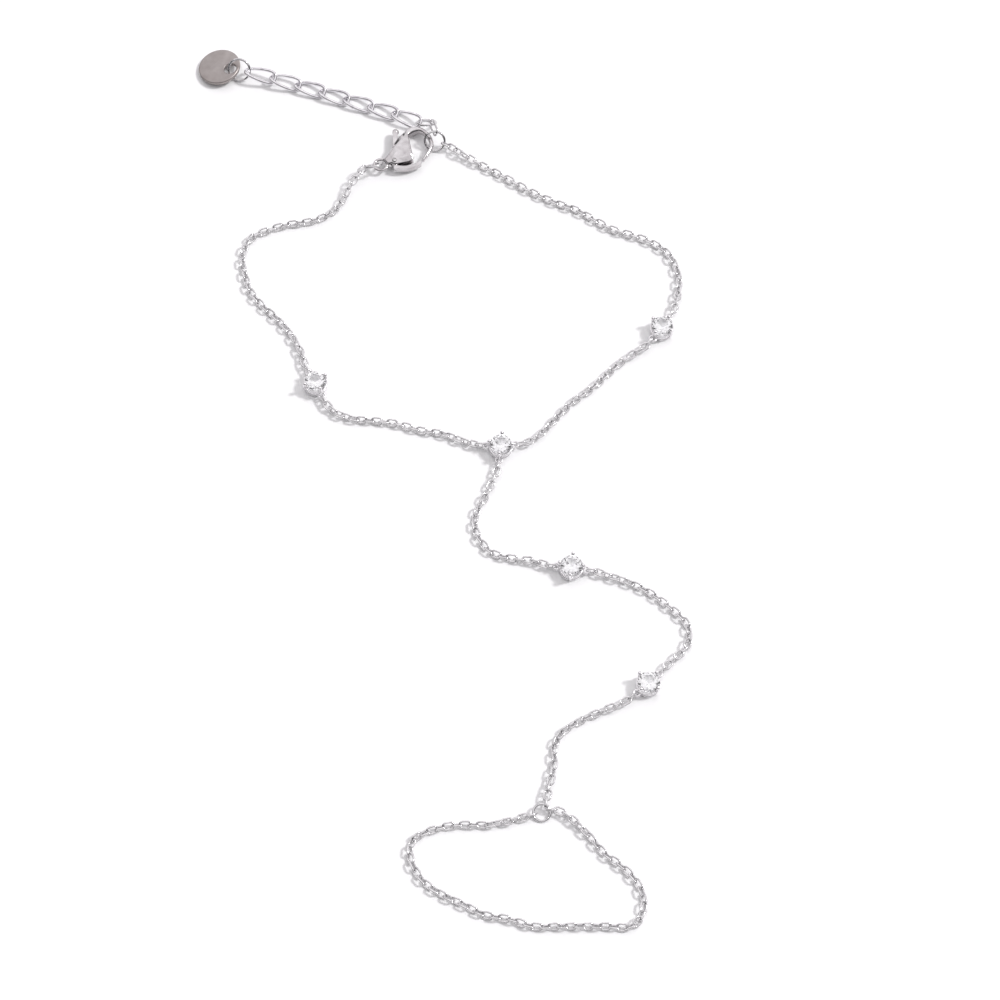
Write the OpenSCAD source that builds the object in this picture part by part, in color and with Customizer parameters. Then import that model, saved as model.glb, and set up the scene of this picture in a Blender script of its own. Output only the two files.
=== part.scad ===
// Hand chain bracelet, lying flat: a wrist loop with an extender, a stretch over the
// back of the hand and a finger loop, in fine cable chain with five set stones.
// Millimetres. X is to the right, Y away from the viewer, Z up from the surface.

/* [Fine chain] */
// Wire of the fine links
chain_wire = 0.28; // [0.22:0.02:0.32]
// Width of a fine link, over its wire
chain_width = 1.22; // [1.14:0.02:1.36]
// Distance from one fine link to the next
chain_pitch = 1.1; // [1:0.05:1.4]
// Clearance between two fine links along the chain
link_gap = 0.14; // [0.13:0.01:0.16]

/* [Extender] */
// Number of large links
extender_links = 7; // [7]
// Wire of the large links
extender_wire = 0.5; // [0.4:0.05:0.55]
// Width of a large link, over its wire
extender_width = 2.5; // [2.3:0.1:2.8]
// Turn of each end of a large link about its length
extender_twist = 30; // [28:1:40]
// Clearance between two large links along the extender
large_gap = 0.2; // [0.18:0.01:0.24]

/* [Jump rings] */
// Wire of the jump rings
hoop_wire = 0.35; // [0.3:0.05:0.4]
// Outer diameter of the ring that the clasp hooks into
closing_ring_d = 3.3; // [3.2:0.1:3.6]
// Outer diameter of the ring at the inner end of the extender
extender_ring_d = 3.3; // [3:0.1:3.6]
// Outer diameter of the ring through the tag
tag_ring_d = 3.6; // [3.5:0.1:3.8]
// Outer diameter of the ring in the clasp's eye
eye_ring_d = 3.25; // [3:0.05:3.5]
// Outer diameter of the ring that closes the finger loop
finger_ring_d = 2.6; // [2.4:0.1:3]
// Width of the small link between the extender and the closing ring
join_width = 1.5; // [1.4:0.1:1.8]

/* [Tag] */
// Diameter of the tag
tag_d = 6.3; // [5.8:0.1:6.6]
// Thickness of the tag
tag_thick = 0.6; // [0.5:0.05:0.7]
// Hole of the tag
tag_hole_d = 1.9; // [1.8:0.05:2]
// Metal left between the hole and the tag's edge
tag_rim = 0.4; // [0.35:0.05:0.5]
// Rise of the tag's hole side over the ring beneath it
tag_tilt = 9; // [8:1:10]

/* [Stones] */
// Diameter of a stone at its girdle
stone_d = 3; // [2.8:0.1:3.4]
// Diameter of the flat table
table_d = 1.7; // [1.5:0.1:1.9]
// Height of the crown above the girdle
crown_height = 0.45; // [0.4:0.05:0.55]
// Depth of the pavilion below the girdle
pavilion_depth = 1.25; // [1.1:0.05:1.3]
// Height of the girdle's edge
girdle_height = 0.06; // [0.04:0.02:0.1]

/* [Settings] */
// Height of the girdle above the surface
girdle_z = 1.75; // [1.6:0.05:1.9]
// Wire of the prongs
prong_wire = 0.4; // [0.35:0.05:0.45]
// Ball at the tip of each prong
prong_tip_d = 0.6; // [0.5:0.05:0.7]
// Inward lean of a prong from the girdle to its foot
prong_lean = 0.25; // [0.1:0.05:0.35]
// Wire of the base ring
base_wire = 0.42; // [0.36:0.02:0.48]
// Wire of the gallery ring below the girdle
gallery_wire = 0.3; // [0.24:0.02:0.34]
// Height of the gallery ring
gallery_z = 1.15; // [1.05:0.05:1.2]
// Clearance between a stone and its prongs
stone_gap = 0.05; // [0.04:0.01:0.08]
// Wire of the side loops
loop_wire = 0.3; // [0.26:0.02:0.34]
// Hole of the side loops
loop_hole_d = 0.62; // [0.56:0.02:0.7]
// Height of the side loops
loop_z = 0.8; // [0.75:0.05:0.9]

/* [Clasp] */
// Length from the eye's centre to the front of the hook
claw_length = 8.7; // [8.5:0.1:9.2]
// Reach of the claw's back from the eye's centre line
claw_width = 4.25; // [4.1:0.05:4.5]
// Thickness of the clasp
clasp_thick = 2.1; // [2:0.05:2.3]
// Wire of the eye
eye_wire = 0.45; // [0.4:0.05:0.5]
// Hole of the eye
eye_hole_d = 1.45; // [1.4:0.05:1.6]
// Thickness of the lever
lever_thick = 0.8; // [0.7:0.05:0.9]
// Width of the lever's gate arm
gate_width = 0.6; // [0.5:0.05:0.65]
// Clearance round the lever in its slot
lever_gap = 0.1; // [0.1:0.01:0.14]
// Rivet of the lever
pin_d = 0.5; // [0.4:0.05:0.55]
// Boss of the lever round the rivet
boss_d = 1.2; // [1.1:0.05:1.25]
// Thumb nub of the lever
nub_d = 1; // [0.9:0.05:1.1]
// Swing of the lever from shut to open
lever_swing = 24; // [18:1:24]

/* [Hidden] */

$fn = 48;

// The chosen points of each stretch of chain, between the pieces that hold its ends
route = [
  // wrist_chain_1, from the clasp to stone 1
  [[-12.5, 45], [-14, 42], [-16, 40], [-18.5, 39], [-21.5, 38.5], [-24.5, 37.5], [-27, 36],
   [-28, 33], [-27.5, 30], [-26.5, 27], [-24.5, 24.5], [-22.5, 22.5], [-20.5, 20], [-19, 17]],
  // wrist_chain_2, from stone 1 to stone 3
  [[-13.9, 7.3], [-11.3, 6.3], [-8, 6], [-5, 5.5], [-2, 4.5], [1, 4], [3.5, 3]],
  // wrist_chain_3, from stone 3 to stone 2
  [[14.2, 3.1], [15.8, 4.7], [17.6, 6.9], [19.5, 9], [22, 11], [24, 13], [26.5, 15.5]],
  // wrist_chain_4, from the closing ring to stone 2
  [[4.5, 50], [7, 48.5], [9.5, 47], [12.5, 45], [15, 43.5], [18, 42], [20.5, 41], [23.5, 39],
   [26, 37.5], [29, 36.5], [32, 35], [34, 33], [35, 30], [35, 27.5]],
  // hand_chain_1, from stone 3 to stone 4
  [[8.5, -3], [7.5, -5.5], [6, -8.5], [6, -11.5], [8, -14.5], [11, -15.5], [14, -16]],
  // hand_chain_2, from stone 4 to stone 5
  [[23.5, -18], [26.5, -19], [29.5, -20.5], [32, -22.5], [34.5, -25], [35, -27], [34.5, -29],
   [33, -30.5]],
  // hand_chain_3, from stone 5 to the finger ring
  [[25, -37.5], [22.5, -38.5], [19.5, -40], [17.5, -41.5], [16.5, -43.5],
   [16.5, -46]],
  // finger_chain, round the finger from one side of the finger ring to the other
  [[18.5, -53.5], [21, -56], [23, -58.5], [25.5, -60.5], [27.5, -63], [28, -66], [26.5, -68.5],
   [23.5, -68.5], [20, -68.5], [17, -68.5], [13.5, -68.5], [10.5, -67.5], [7.5, -67], [4.5, -65.5],
   [1.5, -64], [-1, -62], [-2.5, -59], [-2, -56.5], [1, -55], [4, -54.5], [7.5, -54.5], [10.5, -54]],
  // the extender, from the tag's ring to the ring at its inner end
  [[-21, 63], [-14, 60.5], [-7, 58]]
];

// Each setting's place and the turn of its prongs
setting_at = [[-16.8, 11.8], [32.4, 20.8], [9.4, 1.7], [19.1, -17.1], [29.3, -34.5]];
setting_turn = [117, 52, -7, -8, 48];
// Where each setting has side loops, from its turn
setting_loops = [[0, 180], [8, 178], [18, 180, 270], [0, 180], [0, 170]];

// The clasp's eye and the direction of its length
eye_at = [-8.2, 48.5];
clasp_turn = 22;

// Jump rings: centre, roll out of the flat, outer diameter, direction of the roll's axis
ring_slack = 0.91;
eye_ring_slack = 0.25;
hook_share = [0.95, 0.22];
closing_ring = [clasp_place(hook_share) + [closing_ring_d / 2 - hoop_wire / 2 - ring_slack, 0],
                50, closing_ring_d, 0];
extender_ring = [[-1.6, 55.9], -40, extender_ring_d, 0];
tag_ring = [[-29.6, 65.1], 50, tag_ring_d, -12];
eye_ring_turn = 16;
eye_ring = [eye_at + (eye_ring_slack - (eye_ring_d - hoop_wire) / 2) * heading(eye_ring_turn), 129,
            eye_ring_d, eye_ring_turn];
finger_ring = [[14.8, -52.8], 22, finger_ring_d, 0];

// Where on its jump ring each chain hangs, as an angle in the ring's plane, and its outward way
eye_ring_hang = 170;
eye_ring_way = 232;
closing_ring_hang = -15;
closing_ring_way = -30;
extender_ring_hang = 168;
extender_ring_way = 165;
tag_ring_hang = 0;
tag_ring_way = -15;
finger_ring_hand = 65;
finger_ring_hand_way = 79;
finger_ring_start = 25;
finger_ring_start_way = -10;
finger_ring_end = 195;
finger_ring_end_way = 195;

// Where the small link crosses its two rings, its lean, and where the tag's ring passes its hole
closing_ring_join = 84;
extender_ring_join = -52;
join_lean = 65;
tag_ring_hole = 200;
tag_hole_shift = [0.25, 0.34];

// How a fine chain lies: links lean by turns either way, and the lean wanders a little
lean_mid = 45;
lean_wander = 9;
wander_length = 17;
settle_length = 8.5;
rest_gap = 0.01;
curve_steps = 6;
first_reach = 1.1;

// Sections of the claw from the eye to the hook's tip, as shares of the claw's length,
// width and thickness: back x, back y, front x, front y, thickness
claw_sections = [
  [0.075, 0.17, 0.115, -0.17, 0.5],
  [0.2, 0.31, 0.19, -0.25, 0.85],
  [0.32, 0.56, 0.3, -0.31, 1],
  [0.45, 0.78, 0.435, -0.36, 1],
  [0.54, 0.88, 0.545, -0.34, 0.95],
  [0.645, 0.965, 0.63, 0.65, 0.85],
  [0.76, 1, 0.745, 0.74, 0.78],
  [0.875, 0.905, 0.835, 0.73, 0.7],
  [0.955, 0.705, 0.885, 0.6, 0.6],
  [1, 0.42, 0.92, 0.38, 0.5],
  [0.99, 0.14, 0.915, 0.175, 0.48],
  [0.93, -0.07, 0.868, 0.01, 0.46],
  [0.84, -0.235, 0.8, -0.13, 0.44],
  [0.75, -0.375, 0.72, -0.28, 0.4],
  [0.7, -0.44, 0.678, -0.365, 0.34]
];
// How square the claw's section is, from 2 for an oval, its sides and the rings for each section
claw_square = 2.5;
claw_sides = 12;
claw_steps = 2;

// The lever, in the same shares
pivot_share = [0.224, -0.106];
gate_shares = [[0.19, -0.27], [0.414, -0.495], [0.665, -0.445]];
nub_share = [0.466, 1.06];

// A point of the clasp's plan, from shares of its length and width
function clasp_point(share) = [share[0] * claw_length, share[1] * claw_width];
function turned(p, angle) =
  [p[0] * cos(angle) - p[1] * sin(angle), p[0] * sin(angle) + p[1] * cos(angle)];
function clasp_place(share) = eye_at + turned(clasp_point(share), clasp_turn);

// A jump ring's radius, height and the place and direction of its wire at an angle
function hoop_radius(hoop) = (hoop[2] - hoop_wire) / 2;
function hoop_height(hoop) = hoop_radius(hoop) * abs(sin(hoop[1])) + hoop_wire / 2;
function hoop_axis(hoop) = [cos(hoop[3]), sin(hoop[3]), 0];
function hoop_side(hoop) =
  [-sin(hoop[3]) * cos(hoop[1]), cos(hoop[3]) * cos(hoop[1]), sin(hoop[1])];
function hoop_point(hoop, angle) =
  [hoop[0][0], hoop[0][1], hoop_height(hoop)]
  + hoop_radius(hoop) * (cos(angle) * hoop_axis(hoop) + sin(angle) * hoop_side(hoop));
function hoop_tangent(hoop, angle) = cos(angle) * hoop_side(hoop) - sin(angle) * hoop_axis(hoop);

// What holds the end of a chain: wire centre, outward direction, wire tangent, wire diameter
function hoop_hold(hoop, angle, outward) =
  [hoop_point(hoop, angle), outward, hoop_tangent(hoop, angle), hoop_wire];
prong_r = stone_d / 2 + stone_gap + prong_wire / 2;
foot_r = prong_r - prong_lean;
foot_z = prong_wire / 2;
function prong_r_at(z) = foot_r + prong_lean * (z - foot_z) / (girdle_z - foot_z);
loop_r = (loop_hole_d + loop_wire) / 2;
loop_at = prong_r_at(loop_z) + loop_r;
function loop_hold(k, side) = let (a = setting_turn[k] + setting_loops[k][side])
  [[setting_at[k][0] + (loop_at + loop_r) * cos(a),
    setting_at[k][1] + (loop_at + loop_r) * sin(a), loop_z], a, [-sin(a), cos(a), 0], loop_wire];

// A smooth curve through chosen points
function between(a, b, c, d, t) =
  0.5 * (2 * b + (c - a) * t + (2 * a - 5 * b + 4 * c - d) * t * t
         + (3 * b - a - 3 * c + d) * t * t * t);
function curve(points) = let (last = len(points) - 1)
  [for (i = [0:last - 1], k = [0:curve_steps - 1])
     between(points[max(i - 1, 0)], points[i], points[i + 1], points[min(i + 2, last)],
             k / curve_steps),
   points[last]];
function running(path) =
  [for (i = 0, s = 0; i < len(path);
        s = s + (i + 1 < len(path) ? norm(path[i + 1] - path[i]) : 0), i = i + 1) s];
function along(path, marks, s) =
  [for (axis = [0, 1]) lookup(s, [for (i = [0:len(path) - 1]) [marks[i], path[i][axis]]])];

// A chain's curve starts inside its holding wire by half of that wire and the clearance
function heading(angle) = [cos(angle), sin(angle)];
function flat(p) = [p[0], p[1]];
function hold_points(hold, gap) = let (q = flat(hold[0]), way = heading(hold[1]))
  [q - (hold[3] + gap) / 2 * way, q + first_reach * way];
function chain_path(from, to, points, gap) = let (a = hold_points(from, gap), b = hold_points(to, gap))
  curve(concat(a, points, [b[1], b[0]]));

// The lean of a link that crosses its holding wire squarely, nearest to the middle lean
function square_lean(hold, way) =
  let (side = [-sin(way), cos(way), 0], a = atan2(-hold[2] * side, hold[2][2]))
  a - 180 * round((a - lean_mid) / 180);
function fade(t) = t >= 1 ? 0 : t <= 0 ? 1 : 1 - 3 * t * t + 2 * t * t * t;
function lean_at(ends, total, s) =
  let (mid = lean_mid + lean_wander * sin(360 * s / wander_length))
  mid + (ends[0] - mid) * fade(s / settle_length) + (ends[1] - mid) * fade((total - s) / settle_length);
function lying(lean) =
  (chain_width - chain_wire) / 2 * max(abs(sin(lean)), abs(cos(lean))) + chain_wire / 2 + rest_gap;
function height_at(ends, holds, total, s) =
  lying(lean_at(ends, total, s))
  + (holds[0][0][2] - lying(ends[0])) * fade(s / settle_length)
  + (holds[1][0][2] - lying(ends[1])) * fade((total - s) / settle_length);

// A wire link in the XY plane, round ends joined by straight sides, its length in whole steps
size_step = 0.001;
module link(length, width, wire) {
  bend = (width - wire) / 2;
  straight = round((length - width) / (2 * size_step)) * 2 * size_step;
  for (side = [-1, 1]) {
    translate([side * straight / 2, 0, 0])
      rotate([0, 0, -90 * side])
        rotate_extrude(angle = 180)
          translate([bend, 0]) circle(d = wire);
    translate([0, side * bend, 0])
      rotate([0, 90, 0])
        cylinder(d = wire, h = straight, center = true);
  }
}

// Puts a link between two joints of its chain, leaning about its length
module span(a, b, lean) {
  v = b - a;
  translate((a + b) / 2)
    rotate([0, -asin(v[2] / norm(v)), atan2(v[1], v[0])])
      rotate([lean, 0, 0])
        children();
}

module fine_chain(from, to, points) {
  path = chain_path(from, to, points, link_gap);
  marks = running(path);
  total = marks[len(marks) - 1];
  count = round(total / chain_pitch);
  pitch = total / count;
  last_turn = 90 * ((count - 1) % 2);
  end_lean = square_lean(to, to[1] + 180) - last_turn;
  ends = [square_lean(from, from[1]),
          end_lean - 180 * round((end_lean - lean_mid) / 180)];
  joints = [for (i = [0:count])
    let (s = i * pitch, p = along(path, marks, s)) [p[0], p[1], height_at(ends, [from, to], total, s)]];
  color("silver")
    for (i = [0:count - 1])
      span(joints[i], joints[i + 1], lean_at(ends, total, (i + 0.5) * pitch) + 90 * (i % 2))
        link(pitch + 2 * chain_wire + link_gap, chain_width, chain_wire);
}

// A large link, its wire following an oval whose ends are turned opposite ways
link_rings = 20;
link_sides = 6;
link_square = 3.2;
function rounded(x, square) = sign(x) * pow(abs(x), 2 / square);
function oval(t, length, width) =
  let (along = rounded(cos(t), link_square), aside = rounded(sin(t), link_square),
       turn = extender_twist * along)
  [length / 2 * along, width / 2 * aside * cos(turn), width / 2 * aside * sin(turn)];
function unit(v) = v / norm(v);
function oval_ring(t, length, width, wire) =
  let (turn = extender_twist * rounded(cos(t), link_square),
       way = unit(oval(t + 1, length, width) - oval(t - 1, length, width)),
       out = unit(cross(way, [0, -sin(turn), cos(turn)])),
       up = cross(out, way))
  [for (k = [0:link_sides - 1]) let (a = 360 * k / link_sides)
     oval(t, length, width) + wire / 2 * (cos(a) * out + sin(a) * up)];
module twisted_link(length, width, wire) {
  points = [for (i = [0:link_rings - 1])
    each oval_ring(360 * i / link_rings, length - wire, width - wire, wire)];
  faces = [for (i = [0:link_rings - 1], k = [0:link_sides - 1])
    let (i2 = (i + 1) % link_rings, k2 = (k + 1) % link_sides,
         a = i * link_sides + k, b = i2 * link_sides + k,
         c = i2 * link_sides + k2, d = i * link_sides + k2)
    each [[a, c, b], [a, d, c]]];
  polyhedron(points = points, faces = faces);
}

// The extender's joints, from the tag's ring to the ring at its inner end
extender_from = hoop_hold(tag_ring, tag_ring_hang, tag_ring_way);
extender_to = hoop_hold(extender_ring, extender_ring_hang, extender_ring_way);
extender_path = chain_path(extender_from, extender_to, route[8], large_gap);
extender_marks = running(extender_path);
extender_total = extender_marks[len(extender_marks) - 1];
extender_pitch = extender_total / extender_links;
extender_lying = max([for (t = [0:5:90])
  oval(t, 0, extender_width - extender_wire)[2]]) + extender_wire / 2;
function extender_joint(i) =
  let (s = i * extender_pitch, p = along(extender_path, extender_marks, s))
  [p[0], p[1], extender_lying
   + (extender_from[0][2] - extender_lying) * fade(s / (2 * extender_pitch))
   + (extender_to[0][2] - extender_lying) * fade((extender_total - s) / (2 * extender_pitch))];
module ext_link(i) {
  color("silver")
    span(extender_joint(i), extender_joint(i + 1), 0)
      twisted_link(extender_pitch + 2 * extender_wire + large_gap, extender_width, extender_wire);
}

// A jump ring
module hoop(hoop) {
  color("gainsboro")
    translate([hoop[0][0], hoop[0][1], hoop_height(hoop)])
      rotate([hoop[1], 0, hoop[3]])
        rotate_extrude()
          translate([hoop_radius(hoop), 0]) circle(d = hoop_wire);
}

// The small link between the extender's ring and the closing ring
module ext_join() {
  a = hoop_point(extender_ring, extender_ring_join);
  b = hoop_point(closing_ring, closing_ring_join);
  way = unit(b - a);
  reach = (hoop_wire + large_gap) / 2;
  color("silver")
    span(a - reach * way, b + reach * way, join_lean)
      link(norm(b - a) + 2 * reach + 2 * chain_wire + large_gap, join_width, chain_wire);
}

// The tag, tilted up over the ring that passes through its hole
tag_hole_r = tag_d / 2 - tag_rim - tag_hole_d / 2;
tag_turn = -20;
module tag() {
  hole = flat(hoop_point(tag_ring, tag_ring_hole)) + tag_hole_shift;
  round_edge = tag_thick / 3;
  color("rosybrown")
    translate([hole[0], hole[1], 0])
      rotate([0, 0, tag_turn])
        translate([-(tag_d / 2 + tag_hole_r) * cos(tag_tilt), 0, -round_edge * sin(tag_tilt)])
          rotate([0, -tag_tilt, 0])
            translate([tag_d / 2, 0, 0])
              difference() {
                rotate_extrude()
                  polygon([[0, 0], [tag_d / 2 - round_edge, 0], [tag_d / 2, round_edge],
                           [tag_d / 2, tag_thick - round_edge],
                           [tag_d / 2 - round_edge, tag_thick], [0, tag_thick]]);
                translate([tag_hole_r, 0, -tag_thick])
                  cylinder(d = tag_hole_d, h = 3 * tag_thick);
              }
}

// A straight rod from one point to another
module rod(a, b, d) {
  v = b - a;
  translate(a)
    rotate([0, acos(v[2] / norm(v)), atan2(v[1], v[0])])
      cylinder(d = d, h = norm(v));
}

module ring(r, z, wire) {
  translate([0, 0, z])
    rotate_extrude()
      translate([r, 0]) circle(d = wire);
}

// A four-prong basket with its side loops
crown_slope = atan2(crown_height, (stone_d - table_d) / 2);
tip_r = prong_r - prong_wire / 3;
tip_z = girdle_z + girdle_height / 2
        + (prong_tip_d / 2 + stone_gap - (tip_r - stone_d / 2) * sin(crown_slope)) / cos(crown_slope);
module basket(loops) {
  ring(foot_r - base_wire / 4, base_wire / 2, base_wire);
  ring(prong_r_at(gallery_z) - gallery_wire / 4, gallery_z, gallery_wire);
  for (a = [0:90:270])
    rotate([0, 0, a]) {
      translate([foot_r, 0, foot_z]) sphere(d = prong_wire);
      rod([foot_r, 0, foot_z], [prong_r, 0, girdle_z], prong_wire);
      translate([prong_r, 0, girdle_z]) sphere(d = prong_wire);
      rod([prong_r, 0, girdle_z], [tip_r, 0, tip_z], prong_wire);
      translate([tip_r, 0, tip_z]) sphere(d = prong_tip_d);
    }
  for (a = loops)
    rotate([0, 0, a])
      translate([loop_at, 0, 0])
        ring(loop_r, loop_z, loop_wire);
}
module setting(k) {
  color("gainsboro")
    translate([setting_at[k][0], setting_at[k][1], 0])
      rotate([0, 0, setting_turn[k]])
        basket(setting_loops[k]);
}

// A round stone: table, crown, girdle, pavilion and culet
stone_sides = 16;
crown_mid = 0.72;
pavilion_mid = 0.5;
function round_of(count, d, z, turn) =
  [for (i = [0:count - 1]) let (a = 360 * (i + turn) / count) [d / 2 * cos(a), d / 2 * sin(a), z]];
module stone(k) {
  points = concat(
    round_of(stone_sides / 2, table_d, girdle_height / 2 + crown_height, 0.5),
    round_of(stone_sides / 2, table_d + (stone_d - table_d) * crown_mid,
             girdle_height / 2 + crown_height * (1 - crown_mid) * 1.25, 0),
    round_of(stone_sides, stone_d, girdle_height / 2, 0),
    round_of(stone_sides, stone_d, -girdle_height / 2, 0),
    round_of(stone_sides / 2, stone_d * pavilion_mid,
             -girdle_height / 2 - pavilion_depth * (1 - pavilion_mid), 0.5),
    [[0, 0, -girdle_height / 2 - pavilion_depth]]);
  color("lightcyan")
    translate([setting_at[k][0], setting_at[k][1], girdle_z])
      rotate([0, 0, setting_turn[k] + 180 / stone_sides])
        hull()
          polyhedron(points = points, faces = [[for (i = [0:len(points) - 1]) i]]);
}

// The clasp lies flat, its plan drawn from the eye's centre
module clasp_frame() {
  translate([eye_at[0], eye_at[1], clasp_thick / 2])
    rotate([0, 0, clasp_turn])
      children();
}
function claw_ring(row) =
  let (back = clasp_point([row[0], row[1]]), front = clasp_point([row[2], row[3]]),
       mid = (back + front) / 2, reach = (back - front) / 2, half = row[4] * clasp_thick / 2)
  [for (k = [0:claw_sides - 1])
     let (a = 360 * k / claw_sides, p = mid + rounded(cos(a), claw_square) * reach)
     [p[0], p[1], half * rounded(sin(a), claw_square)]];

// Values between two sections, with no overshoot past either
function slope(before, after) = before * after <= 0 ? 0 : 2 * before * after / (before + after);
function eased(a, b, c, d, t) = let (m = slope(b - a, c - b), n = slope(c - b, d - c))
  b + m * t + (3 * (c - b) - 2 * m - n) * t * t + (m + n - 2 * (c - b)) * t * t * t;
function claw_rows() = let (rows = claw_sections, last = len(rows) - 1)
  [for (i = [0:last - 1], k = [0:claw_steps - 1])
     [for (c = [0:4])
        eased(rows[max(i - 1, 0)][c], rows[i][c], rows[i + 1][c], rows[min(i + 2, last)][c],
              k / claw_steps)],
   rows[last]];
module claw() {
  rows = claw_rows();
  sides = claw_sides;
  last = len(rows) - 1;
  points = [for (row = rows) each claw_ring(row)];
  walls = [for (i = [0:last - 1], k = [0:sides - 1])
    let (k2 = (k + 1) % sides, a = i * sides + k, b = (i + 1) * sides + k,
         c = (i + 1) * sides + k2, d = i * sides + k2)
    each [[a, b, c], [a, c, d]]];
  caps = [[for (k = [0:sides - 1]) k], [for (k = [sides - 1:-1:0]) last * sides + k]];
  polyhedron(points = points, faces = concat(walls, caps));
}
pivot = clasp_point(pivot_share);
nub = clasp_point(nub_share);
function pivot_angle(p) = atan2(p[1] - pivot[1], p[0] - pivot[0]);
nub_angle = pivot_angle(nub);
arm_width = 0.58 * boss_d;
pin_length = 0.92 * clasp_thick;

// The circle through the gate arm's three points
gate_points = [for (share = gate_shares) clasp_point(share)];
function circle_centre(a, b, c) =
  let (p = b - a, q = c - a, d = 2 * (p[0] * q[1] - p[1] * q[0]))
  a + [q[1] * (p * p) - p[1] * (q * q), p[0] * (q * q) - q[0] * (p * p)] / d;
gate_centre = circle_centre(gate_points[0], gate_points[1], gate_points[2]);
gate_r = norm(gate_points[0] - gate_centre);
function gate_angle(p) = atan2(p[1] - gate_centre[1], p[0] - gate_centre[0]);

// The gate's end is rounded about the pivot, to pass the hook's tip with the lever's clearance
last_section = claw_sections[len(claw_sections) - 1];
hook_tip = clasp_point([last_section[2], last_section[3]]);
gate_end_r = norm(hook_tip - pivot) - lever_gap;

// The lever's slot, as the room that its two arms sweep
function from_pivot(angle, reach, aside) =
  pivot + [reach * cos(angle) - aside * sin(angle), reach * sin(angle) + aside * cos(angle)];
gate_tip = gate_centre + (gate_r - gate_width / 2) * heading(gate_angle(gate_points[2]));
gate_spare = 6;
gate_room = 91;
gate_high = pivot_angle(gate_tip) + lever_swing + gate_spare;
gate_low = gate_high - gate_room;
gate_reach = 0.6 * claw_length;
module slot() {
  half = arm_width / 2 + lever_gap;
  thick = lever_thick + 2 * lever_gap;
  translate([0, 0, -thick / 2])
    linear_extrude(thick) {
      translate(pivot) circle(d = boss_d + 2 * lever_gap);
      polygon([from_pivot(nub_angle, 0, -half), from_pivot(nub_angle, claw_length, -half),
               from_pivot(nub_angle + lever_swing, claw_length, half),
               from_pivot(nub_angle + lever_swing, 0, half)]);
      polygon([from_pivot(gate_high, 0, half), from_pivot(gate_high, gate_reach, half),
               from_pivot(gate_low, gate_reach, -half), from_pivot(gate_low, 0, -half)]);
    }
}
module clasp_body() {
  color("gainsboro")
    clasp_frame()
      difference() {
        union() {
          ring((eye_hole_d + eye_wire) / 2, 0, eye_wire);
          claw();
        }
        cylinder(d = eye_hole_d, h = 2 * clasp_thick, center = true);
        slot();
        translate([pivot[0], pivot[1], -clasp_thick])
          cylinder(d = pin_d + lever_gap / 2, h = 2 * clasp_thick);
      }
}
module clasp_lever() {
  start = gate_angle(gate_points[0]);
  color("darkgray")
    clasp_frame()
      difference() {
        union() {
          translate([pivot[0], pivot[1], -lever_thick / 2])
            cylinder(d = boss_d, h = lever_thick);
          intersection() {
            translate([gate_centre[0], gate_centre[1], 0])
              rotate([0, 0, start])
                rotate_extrude(angle = gate_angle(gate_points[2]) - start)
                  translate([gate_r, 0]) square([gate_width, lever_thick], center = true);
            translate([pivot[0], pivot[1], -lever_thick])
              cylinder(r = gate_end_r, h = 2 * lever_thick);
          }
          translate([0, 0, -lever_thick / 2])
            linear_extrude(lever_thick)
              polygon([from_pivot(nub_angle, 0, -arm_width / 2),
                       from_pivot(nub_angle, norm(nub - pivot), -arm_width / 2),
                       from_pivot(nub_angle, norm(nub - pivot), arm_width / 2),
                       from_pivot(nub_angle, 0, arm_width / 2)]);
          translate(nub) sphere(d = nub_d);
        }
        translate([pivot[0], pivot[1], -lever_thick])
          cylinder(d = pin_d + lever_gap / 2, h = 2 * lever_thick);
      }
}
module clasp_pin() {
  color("dimgray")
    clasp_frame()
      translate([pivot[0], pivot[1], -pin_length / 2])
        cylinder(d = pin_d, h = pin_length);
}

// The finger loop's chain as one closed tube of the chain's outer size
tube_sides = 8;
tube_step = 2.6;
tube_gap = 0.3;
module finger_chain() {
  from = hoop_hold(finger_ring, finger_ring_start, finger_ring_start_way);
  to = hoop_hold(finger_ring, finger_ring_end, finger_ring_end_way);
  path = chain_path(from, to, route[7], link_gap);
  marks = running(path);
  total = marks[len(marks) - 1];
  inset = hoop_wire + link_gap / 2 + tube_gap;
  count = round((total - 2 * inset) / (tube_step * chain_width));
  r = chain_width / 2;
  places = [for (i = [0:count]) inset + (total - 2 * inset) * i / count];
  points = [for (s = places)
    let (p = along(path, marks, s), q = along(path, marks, s + 0.1) - along(path, marks, s - 0.1),
         side = unit([-q[1], q[0], 0]))
    for (k = [0:tube_sides - 1]) let (a = 360 * k / tube_sides)
      [p[0], p[1], r] + r * (cos(a) * side + sin(a) * [0, 0, 1])];
  walls = [for (i = [0:count - 1], k = [0:tube_sides - 1])
    let (k2 = (k + 1) % tube_sides, a = i * tube_sides + k, b = (i + 1) * tube_sides + k,
         c = (i + 1) * tube_sides + k2, d = i * tube_sides + k2)
    each [[a, b, c], [a, c, d]]];
  caps = [[for (k = [0:tube_sides - 1]) k],
          [for (k = [tube_sides - 1:-1:0]) count * tube_sides + k]];
  color("silver") polyhedron(points = points, faces = concat(walls, caps));
}

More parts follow.
